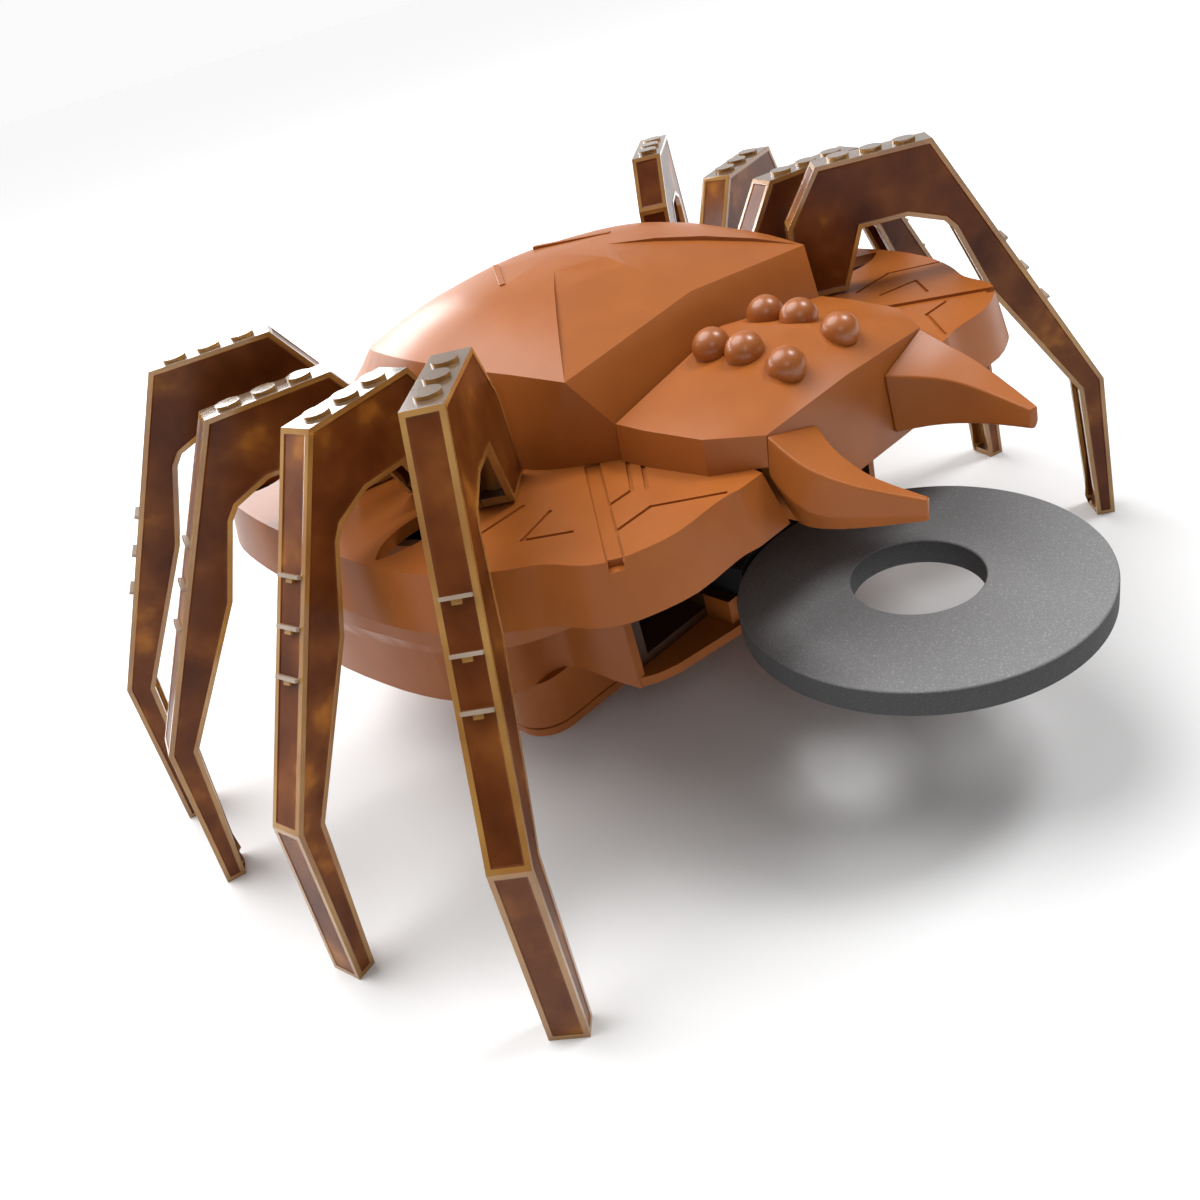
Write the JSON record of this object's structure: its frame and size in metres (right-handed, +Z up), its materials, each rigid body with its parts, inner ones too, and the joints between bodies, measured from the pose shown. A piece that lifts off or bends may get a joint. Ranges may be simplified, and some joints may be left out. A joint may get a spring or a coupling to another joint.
{
  "type": "hexapod spider robot",
  "caption": "Walking spider robot with smoked amber channel legs, faceted orange-brown body, curved fangs and a foam ring leaving the launcher under its head.",
  "frame": {"origin": "on the ground under the middle of the whole footprint at rest, foam ring included", "axes": "+Z up, the head and the ring's flight look along -Y, +X is towards the robot's own left"},
  "size_m": [0.1742, 0.1367, 0.075],
  "materials": {
    "body_plastic": "satin moulded, fine grain, orange brown",
    "tray_plastic": "moulded, dark orange brown",
    "leg_plastic": "clear smoked amber",
    "foam": "closed-cell foam, speckled dark grey",
    "inner_plastic": "moulded black",
    "servo_plastic": "moulded dark blue",
    "circuit_board": "green solder mask",
    "chip": "moulded black",
    "cell_jacket": "printed jacket, no text",
    "contact_metal": "nickel plated",
    "screw_steel": "zinc plated"
  },
  "bodies": {
    "chassis": {"lower_shell": "body_plastic", "upper_deck": "body_plastic", "abdomen_dome": "body_plastic", "head_cover": "body_plastic", "eye_beads": "body_plastic", "fang_left": "body_plastic", "fang_right": "body_plastic", "battery_door": "body_plastic", "hull_screws": "screw_steel", "battery_cells": "cell_jacket", "battery_contacts": "contact_metal", "launch_tray": "tray_plastic", "leg_servo_left": "servo_plastic", "leg_servo_right": "servo_plastic", "control_board": "circuit_board", "board_parts": "chip", "switch_body": "inner_plastic"},
    "horn_left": {"servo_horn_left": "inner_plastic"},
    "bar_left": {"shift_bar_left": "inner_plastic"},
    "walk_left_1": {"leg_left_1": "leg_plastic", "crank_left_1": "inner_plastic"},
    "walk_left_2": {"leg_left_2": "leg_plastic", "crank_left_2": "inner_plastic"},
    "walk_left_3": {"leg_left_3": "leg_plastic", "crank_left_3": "inner_plastic"},
    "walk_left_4": {"leg_left_4": "leg_plastic", "crank_left_4": "inner_plastic"},
    "horn_right": {"servo_horn_right": "inner_plastic"},
    "bar_right": {"shift_bar_right": "inner_plastic"},
    "walk_right_1": {"leg_right_1": "leg_plastic", "crank_right_1": "inner_plastic"},
    "walk_right_2": {"leg_right_2": "leg_plastic", "crank_right_2": "inner_plastic"},
    "walk_right_3": {"leg_right_3": "leg_plastic", "crank_right_3": "inner_plastic"},
    "walk_right_4": {"leg_right_4": "leg_plastic", "crank_right_4": "inner_plastic"},
    "pusher": {"ring_pusher": "inner_plastic"},
    "ring": {"foam_ring": "foam"},
    "switch": {"switch_knob": "inner_plastic"}
  },
  "joints": [
    {"name": "bar_shift_left", "type": "slide", "parent": "chassis", "child": "bar_left", "axis": [0, 1, 0], "range_m": [-0.0007, 0.0007]},
    {"name": "servo_turn_left", "type": "hinge", "parent": "chassis", "child": "horn_left", "pos_m": [0.038, 0.0174, 0.0377], "axis": [0, 0, 1], "range_deg": [-8.5, 8.5]},
    {"name": "leg_swing_left_1", "type": "hinge", "parent": "chassis", "child": "walk_left_1", "pos_m": [0.03582, -0.0035, 0.048], "axis": [0, 0, 1], "range_deg": [-8.5, 8.5]},
    {"name": "leg_swing_left_2", "type": "hinge", "parent": "chassis", "child": "walk_left_2", "pos_m": [0.03737, 0.00845, 0.048], "axis": [0, 0, 1], "range_deg": [-8.5, 8.5]},
    {"name": "leg_swing_left_3", "type": "hinge", "parent": "chassis", "child": "walk_left_3", "pos_m": [0.04055, 0.02072, 0.048], "axis": [0, 0, 1], "range_deg": [-8.5, 8.5]},
    {"name": "leg_swing_left_4", "type": "hinge", "parent": "chassis", "child": "walk_left_4", "pos_m": [0.04002, 0.03611, 0.048], "axis": [0, 0, 1], "range_deg": [-8.5, 8.5]},
    {"name": "bar_shift_right", "type": "slide", "parent": "chassis", "child": "bar_right", "axis": [0, 1, 0], "range_m": [-0.0007, 0.0007]},
    {"name": "servo_turn_right", "type": "hinge", "parent": "chassis", "child": "horn_right", "pos_m": [-0.038, 0.0174, 0.0377], "axis": [0, 0, 1], "range_deg": [-8.5, 8.5]},
    {"name": "leg_swing_right_1", "type": "hinge", "parent": "chassis", "child": "walk_right_1", "pos_m": [-0.03578, -0.00354, 0.048], "axis": [0, 0, 1], "range_deg": [-8.5, 8.5]},
    {"name": "leg_swing_right_2", "type": "hinge", "parent": "chassis", "child": "walk_right_2", "pos_m": [-0.03734, 0.00831, 0.048], "axis": [0, 0, 1], "range_deg": [-8.5, 8.5]},
    {"name": "leg_swing_right_3", "type": "hinge", "parent": "chassis", "child": "walk_right_3", "pos_m": [-0.04055, 0.02073, 0.048], "axis": [0, 0, 1], "range_deg": [-8.5, 8.5]},
    {"name": "leg_swing_right_4", "type": "hinge", "parent": "chassis", "child": "walk_right_4", "pos_m": [-0.03981, 0.03645, 0.048], "axis": [0, 0, 1], "range_deg": [-8.5, 8.5]},
    {"name": "pusher_slide", "type": "slide", "parent": "chassis", "child": "pusher", "axis": [0, 1, 0], "range_m": [0, 0.05]},
    {"name": "ring_slide", "type": "slide", "parent": "chassis", "child": "ring", "axis": [0, 1, 0], "range_m": [0, 0.05]},
    {"name": "switch_slide", "type": "slide", "parent": "chassis", "child": "switch", "axis": [1, 0, 0], "range_m": [-0.0015, 0.0015]}
  ],
  "couplings": [
    {"joint": "servo_turn_left", "follows": "bar_shift_left", "rad_per_m": -200},
    {"joint": "leg_swing_left_1", "follows": "bar_shift_left", "rad_per_m": -200},
    {"joint": "leg_swing_left_2", "follows": "bar_shift_left", "rad_per_m": 200},
    {"joint": "leg_swing_left_3", "follows": "bar_shift_left", "rad_per_m": -200},
    {"joint": "leg_swing_left_4", "follows": "bar_shift_left", "rad_per_m": 200},
    {"joint": "servo_turn_right", "follows": "bar_shift_right", "rad_per_m": 200},
    {"joint": "leg_swing_right_1", "follows": "bar_shift_right", "rad_per_m": 200},
    {"joint": "leg_swing_right_2", "follows": "bar_shift_right", "rad_per_m": -200},
    {"joint": "leg_swing_right_3", "follows": "bar_shift_right", "rad_per_m": 200},
    {"joint": "leg_swing_right_4", "follows": "bar_shift_right", "rad_per_m": -200},
    {"joint": "ring_slide", "follows": "pusher_slide", "ratio": 1}
  ]
}
